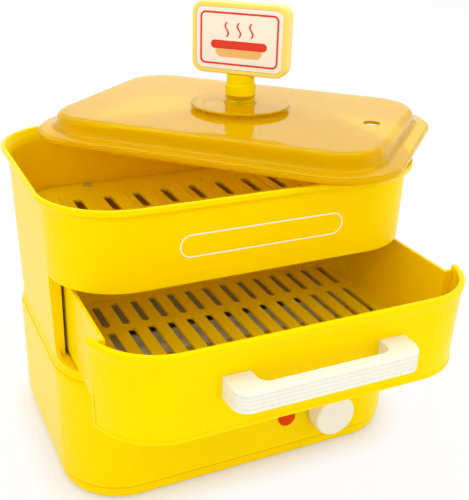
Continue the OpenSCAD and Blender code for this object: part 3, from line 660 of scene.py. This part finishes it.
def buildRack(look):
    low, high = (Vector(corner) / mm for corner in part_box("bun_rack"))
    bottom, top = low.z, low.z + look["thick"]
    plan = roundedPlan(high.x - low.x, high.y - low.y, look["corner"])
    piece = addPlate("rack", plan, bottom, top, 18)
    softenEdges(piece, look["edge"])
    w, length, rise, pitch, count = look["rib"]
    ribs = [addPlate("rib", roundedPlan(w, length, 0.9, x), top - 1, top + rise, 4)
            for x in evenly(pitch, count)]
    combine(piece, joinPieces(ribs))
    w, length, pitch, count, rowPitch, rows = look["slot"]
    slots = [addPlate("slot", roundedPlan(w, length, w / 2 - 0.02, x, y), bottom - 2, top + 2)
             for x in evenly(pitch, count) for y in evenly(rowPitch, rows)]
    x, y, r = look["screw"]
    holes = [addRod("hole", r, bottom - 2, top + 2, *spot, 24) for spot in fourCorners(x, y)]
    cutAway(piece, *slots, *holes)
    softenEdges(piece, look["soft"])
    return finishPiece(piece, "base", "yellow_plastic", "bun_rack")


# Drawer: a lipped front that wraps round both corners, webbed to a slotted box.
# It is modelled shut and then pulled out.
drawer = {
    "corner": 48.5, "lip": 1.2, "shutDepth": 200.4, "low": 104.2, "high": 167.3, "out": 81.4,
    "boxHalf": 127.2, "boxWall": 2.2, "boxBack": 90, "boxCorner": 38, "boxTop": 164.3, "boxFloor": 105.8,
    "floorThick": 2.4, "webY": -60.6, "webThick": 2.4, "tab": (45.7, 51.7, 170.5),
    "pad": (55.8, 24, 19.1, 129.2), "screw": (138.75, 2),
    "slot": (6, 15.5, 15, ((-52, 54), (12, 54), (64, 36))), "soft": 0.3,
}


def buildDrawer(look):
    low, high = (Vector(corner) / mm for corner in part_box("drawer_tray"))
    lip, depth, corner = look["lip"], look["shutDepth"], look["corner"]
    width = high.x - low.x - 2 * lip
    z0, z1, web = look["low"], look["high"], look["webY"]
    piece = sweepWall("drawer", width, depth, corner, [
        (-4.8, z0, 0.3), (-1.1, z0, 0.9), (-1.1, z0 + 2.3, 0.8), (-2.1, z0 + 3.3, 1.2), (0.05, z1 - 7, 2.2),
        (lip, z1 - 4.4, 1.5), (lip, z1, 1.1), (-3, z1, 1.1), (-3, z1 - 5, 1.2), (-2.6, z1 - 7.6, 1)])
    floor, floorTop = look["boxFloor"], look["boxFloor"] + look["floorThick"]
    combine(piece, addPlate("apron", roundedPlan(width - 8, depth - 8, corner - 4), floor, floorTop, 18))
    trim(piece, (0, web, 0), (0, 1, 0))
    half, back, r, top = look["boxHalf"], look["boxBack"], look["boxCorner"], look["boxTop"]
    front = web - look["webThick"]
    box = addPlate("box", [
        (half, front, 0), (half, back, r), (-half, back, r), (-half, front, 0)], floor, top, 18)
    t = look["boxWall"]
    inside = addPlate("inside", [
        (half - t, front - 5, 0), (half - t, back - t, r - t), (t - half, back - t, r - t),
        (t - half, front - 5, 0)], floorTop, top + 30, 18)
    cutAway(box, inside)
    combine(piece, box)
    inner, outer = half - 1.8, width / 2 - 2.2
    webPlate = addPlate("web", [
        (inner, front, 0), (outer, front, 0), (outer, web, 0), (inner, web, 0)], z0, top)
    combine(piece, withMirror(webPlate))
    y0, y1, tabTop = look["tab"]
    tab = addPlate("tab", [
        (half - t, y0, 0), (half, y0, 0), (half, y1, 0), (half - t, y1, 0)], top - 4, tabTop)
    combine(piece, withMirror(tab))
    x, w, h, z = look["pad"]
    face = depth / 2 - 0.9
    pad = addPlate("pad", roundedPlan(w, h, 2.6), face - 2.6, face + 0.6, 4)
    turnMesh(pad, 90, "X")
    moveMesh(pad, x, 0, z + h / 2)
    combine(piece, withMirror(pad))
    w, pitch, count, rows = look["slot"]
    cutters = [addPlate("slot", roundedPlan(w, length, w / 2 - 0.02, slotX, y), z0 - 3, z0 + 5)
               for slotX in evenly(pitch, count) for y, length in rows]
    z, r = look["screw"]
    cutters += [addCrossRod("hole", r, face - 8, face + 8, x * side, z, 32) for side in (-1, 1)]
    cutAway(piece, *cutters)
    softenEdges(piece, look["soft"])
    moveMesh(piece, 0, -look["out"], 0)
    return finishPiece(piece, "drawer", "yellow_plastic", "drawer_tray")


# Handle: a U with smooth legs and a bar whose front carries rounded ribs.
handle = {
    "width": 130.6, "low": 131.7, "high": 145.8, "face": -99.3, "stand": 23.9, "bar": 8.8, "leg": 19,
    "corner": 10, "innerCorner": 7, "skin": 1.5, "ribs": 5, "groove": (0.75, 1.0), "ribEdge": 1.1,
    "screwHole": 1.85, "soft": 0.5,
}


def buildHandle(look, pulledOut):
    low, high, count = look["low"], look["high"], look["ribs"]
    half, front, back = look["width"] / 2, look["face"] - look["stand"], look["face"] - 0.6
    skin, leg, corner = look["skin"], look["leg"], look["corner"]
    inner, ribEnd, barBack = half - leg, front + corner - 0.01, front + look["bar"]
    piece = addPlate("handle", [
        (half - skin, front + skin, corner - skin), (half - skin, ribEnd, 0), (half, ribEnd, 0),
        (half, back, 0), (inner, back, 0),
        (inner, barBack, look["innerCorner"]), (-inner, barBack, look["innerCorner"]),
        (-inner, back, 0), (-half, back, 0), (-half, ribEnd, 0), (skin - half, ribEnd, 0),
        (skin - half, front + skin, corner - skin)], low, high, 12)
    grooveHalf, grooveDeep = look["groove"]
    section = [(-4, low, 0), (0, low, look["ribEdge"])]
    for i in range(1, count):
        z = low + i * (high - low) / count
        section += [(0, z - grooveHalf, 0.5), (-grooveDeep, z, 0.3), (0, z + grooveHalf, 0.5)]
    section += [(0, high, look["ribEdge"]), (-4, high, 0)]
    ribs = sweepWall("ribs", look["width"], 2 * (back - front), corner, section, steps=14, bothEnds=False)
    moveMesh(ribs, 0, back, 0)
    trim(ribs, (0, front + corner, 0), (0, 1, 0))
    combine(piece, ribs)
    cutAway(piece, *[addCrossRod("hole", look["screwHole"], -back - 3, -back + 14, side * (half - leg / 2),
                                 (low + high) / 2, 32) for side in (-1, 1)])
    softenEdges(piece, look["soft"], angle=50)
    moveMesh(piece, 0, -pulledOut, 0)
    return finishPiece(piece, "drawer", "cream_plastic", "drawer_handle")


# Lid: turned-down skirt, flange, cove up to the plateau, centring ring, round boss, hollow neck and vent.
lid = {
    "corner": 50, "ring": 5, "plateau": 17.1, "plateauIn": 26, "thick": 2.4, "neck": 12, "neckTop": 28.2,
    "vent": (107, 6.5), "screwHole": 2.4, "neckHole": 7.6, "soft": 0.4,
    "place": (40, 24), "turn": -45.8, "size": (286, 210),
}


def placeOnLid(piece, look):
    turnMesh(piece, look["turn"], "Z")
    moveMesh(piece, look["place"][0], look["place"][1], look["height"])


def buildLid(look):
    width, depth = look["size"]
    top, under, middle = look["plateau"], look["plateau"] - look["thick"], look["plateauIn"]
    neck, neckTop, ring = look["neck"], look["neckTop"], look["ring"]
    piece = sweepWall("lid", width, depth, look["corner"], [
        (-middle, top, 0), (-15.2, top, 5), (-12.7, 6.3, 4.2), (0, 4.4, 2.2), (0, 0.2, 0.8), (-2.3, 0.2, 0.6),
        (-2.3, 2.2, 1), (-13, 3.9, 0.3), (-13, -ring, 0.7), (-15, -ring, 0.7),
        (-15, 6.4, 2), (-17.2, under, 4), (-middle, under, 0)], steps=20, closed=False)
    closeLevels(piece, (top, under), width / 2 - middle, depth / 2 - middle)
    combine(piece, turnProfile("boss", [
        (0, top - 1, 0), (35, top - 1, 0), (35.6, top + 0.4, 0), (39.8, 20.5, 0.4), (39.4, 21.6, 0.6),
        (neck + 1.2, 21.4, 0.6), (neck + 1.2, 22.6, 0.5), (neck, 22.9, 0.3), (neck, 24.9, 0.2),
        (neck - 0.6, 25.2, 0.1), (neck - 0.6, 25.9, 0.1), (neck, 26.2, 0.2), (neck, neckTop, 0.4),
        (0, neckTop, 0)], 96, 6))
    hollow = turnProfile("hollow", [(0, 12, 0), (32, 12, 0), (32, 19.2, 3), (0, 19.2, 0)], 96, 6)
    combine(piece, hollow, "DIFFERENCE")
    combine(piece, addRod("core", 4.5, 18.9, 20, steps=48), "DIFFERENCE")
    x, r = look["vent"]
    screwHole = addRod("screwHole", look["screwHole"], 19, 26, steps=32)
    cutAway(piece, screwHole, addRod("ventHole", r, 8, 24, x, 0, 48))
    combine(piece, addRod("neckHole", look["neckHole"], 24, 44, steps=48), "DIFFERENCE")
    softenEdges(piece, look["soft"])
    placeOnLid(piece, look)
    return finishPiece(piece, "lid", "clear_amber", "lid_shell")


# Sign: post with a collar, rounded board with a recess, and a plate printed with a frame and a hot dog sign.
sign = {
    "board": (78, 54, 14), "middle": 71, "corner": 9, "edge": 1.6, "recess": 3.5, "recessDeep": 1.2,
    "plate": (70.6, 46.6, 5.8, 1.0), "plateEdge": 0.2, "post": 12.1, "shaft": 11, "spigot": 7.5,
    "tenon": (5, 12), "socket": (5.05, 11.4), "ink": 0.1, "frame": (64, 40, 4.5, 1.5),
    "bun": (38, 10, -9), "sausage": (46, 6.4, -4.5),
    "curls": ((-10, 0, 10), 0.7, 1.3, 1.5, 11),    # places, half width, swing, foot and height
}


def buildSignPost(look, lidLook):
    low, foot = look["middle"] - look["board"][1] / 2, lidLook["neckTop"]
    r, shaft, spigot = look["post"], look["shaft"], look["spigot"]
    tenon, reach = look["tenon"]
    post = turnProfile("post", [
        (0, 24, 0), (spigot, 24, 0.4), (spigot, foot, 0), (r, foot, 0.5), (r, 36.4, 1), (shaft, 37, 0.3),
        (shaft, low - 0.05, 0.3), (tenon, low - 0.05, 0), (tenon, low + reach, 0.4),
        (0, low + reach, 0)], 64, 4)
    combine(post, addRod("hole", 2.1, 20, 39, steps=32), "DIFFERENCE")
    placeOnLid(post, lidLook)
    return finishPiece(post, "lid", "yellow_plastic", "sign_post")


# The board and its plate are drawn lying down, front upwards, and then stood up.
def buildSignBoard(look, lidLook):
    w, h, t = look["board"]
    board = addPlate("board", roundedPlan(w, h, look["corner"]), -t / 2, t / 2, 10)
    softenEdges(board, look["edge"], angle=60, segments=5)
    edge = look["recess"]
    pocket = addPlate("pocket", roundedPlan(w - 2 * edge, h - 2 * edge, look["corner"] - edge + 0.5),
                      t / 2 - look["recessDeep"], t / 2 + 5)
    r, deep = look["socket"]
    socket = addRod("socket", r, -h / 2 - 1, -h / 2 + deep, steps=40)
    turnMesh(socket, -90, "X")
    cutAway(board, pocket, socket)
    standUp(board, look["middle"], lidLook)
    finishPiece(board, "lid", "sign_yellow", "sign_board")

    w, h, r, thick = look["plate"]
    back = t / 2 - look["recessDeep"]
    plate = addPlate("sign_plate", roundedPlan(w, h, r), back, back + thick)
    softenEdges(plate, look["plateEdge"])
    plate.data.materials.append(materials["sign_print"])
    plate = joinPieces([plate] + printSign(look, back + thick))
    plate.name = "sign_plate"
    standUp(plate, look["middle"], lidLook)
    return finishPiece(plate, "lid", "sign_print", "sign_face")


# The print on the plate: a plain frame, a hot dog seen from the side, and three curls of steam.
def printSign(look, low):
    high, under = low + look["ink"], low - 0.3
    w, h, r, line = look["frame"]
    frameLine = addPlate("frame_line", roundedPlan(w, h, r), under, high)
    inner = addPlate("frame_inner", roundedPlan(w - 2 * line, h - 2 * line, r - line), low - 2, high + 2)
    combine(frameLine, inner, "DIFFERENCE")
    w, h, y = look["bun"]
    bun = addPlate("bun_print", roundedPlan(w, h, h / 2 - 0.1, 0, y), under, high - 0.05, 10)
    w, h, y = look["sausage"]
    sausage = addPlate("sausage_print", roundedPlan(w, h, h / 2 - 0.1, 0, y), under, high, 10)
    places, half, swing, foot, rise = look["curls"]
    curls = []
    for x in places:
        middle = [(x + swing * math.sin(math.pi * 2 * i / 12), foot + rise * i / 12) for i in range(13)]
        plan = [(a + half, b, 0) for a, b in middle] + [(a - half, b, 0) for a, b in reversed(middle)]
        curls.append(addPlate("steam_print", plan, under, high))
    bun.data.materials.append(materials["ink_bun"])
    for piece in (frameLine, sausage, *curls):
        piece.data.materials.append(materials["ink_red"])
    return [frameLine, bun, sausage, *curls]


def standUp(piece, height, lidLook):
    turnMesh(piece, 90, "X")
    moveMesh(piece, 0, 0, height)
    placeOnLid(piece, lidLook)


# Knob and lamp lens, turned and then pointed forward.
controls = {"knob": (63, 38, 17.2, 13.8), "knobGap": 1.2, "knobHollow": (9.6, 5), "shaft": (3.05, 2.05),
            "lamp": (27, 38, 7), "lampRim": (1.7, 2.2, 3.2), "wallY": -101.7, "soft": 0.25}


def buildKnob(look):
    x, z, r, depth = look["knob"]
    inner, deep = look["knobHollow"]
    knob = turnProfile("knob", [
        (0, deep, 0), (inner, deep, 0.4), (inner, 0, 0.3), (r - 0.3, 0, 0.6), (r, depth * 0.4, 0),
        (r - 0.5, depth, 1.6), (0, depth, 0)], 96, 6)
    shaft, flatAt = look["shaft"]
    bore = addRod("bore", shaft, 4, 10.2, steps=48)
    flat = addPlate("flat", [(-4, flatAt, 0), (4, flatAt, 0), (4, 6, 0), (-4, 6, 0)], 4, 12)
    combine(bore, flat, "DIFFERENCE")
    combine(knob, bore, "DIFFERENCE")
    softenEdges(knob, look["soft"])
    turnMesh(knob, 90, "X")
    moveMesh(knob, x, look["wallY"] - look["knobGap"], z)
    return finishPiece(knob, "knob", "cream_plastic", "control_knob")


def buildLens(look):
    x, z, r = look["lamp"]
    rim, step, high = look["lampRim"]
    lens = turnProfile("lens", [
        (0, -0.5, 0), (4, -0.5, 0.4), (4, -7, 0), (r - rim, -7, 0.2), (r - rim, 0, 0), (r, 0, 0.2),
        (r, step, 0.5), (r - 1.1, step, 0.1), (r - 1.1, high, 0.7), (0, high, 0)], 64, 8)
    turnMesh(lens, 90, "X")
    moveMesh(lens, x, look["wallY"], z)
    return finishPiece(lens, "base", "lamp_red", "indicator_lens")


# Outline printed on the front of the housing, flat on its leaning wall. Its inside stays bare.
frontPrint = {"half": 62, "height": 16.8, "line": 1.0, "ink": (-0.3, 0.06), "right": 1.2, "middle": 195.4,
              "lean": 1.336, "wallY": -101.49}


def buildFrontPrint(look):
    w, h, line = 2 * look["half"], look["height"], look["line"]
    ring = addPlate("front_print", roundedPlan(w, h, h / 2 - 0.02), *look["ink"], 14)
    inner = addPlate("inner", roundedPlan(w - 2 * line, h - 2 * line, h / 2 - line - 0.02), -2, 2, 14)
    combine(ring, inner, "DIFFERENCE")
    turnMesh(ring, 90 + look["lean"], "X")
    moveMesh(ring, look["right"], look["wallY"], look["middle"])
    ring.data.materials.append(materials["ink_cream"])
    return finishPiece(ring, "base", "yellow_plastic")


buildBaseCasing(baseCasing)
buildPlinth(plinth)
buildRack(rack)
buildDrawer(drawer)
buildHandle(handle, drawer["out"])
lid["height"] = (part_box("lid_shell")[0].z / mm) + lid["ring"]
buildLid(lid)
buildSignPost(sign, lid)
buildSignBoard(sign, lid)
buildKnob(controls)
buildLens(controls)
buildFrontPrint(frontPrint)
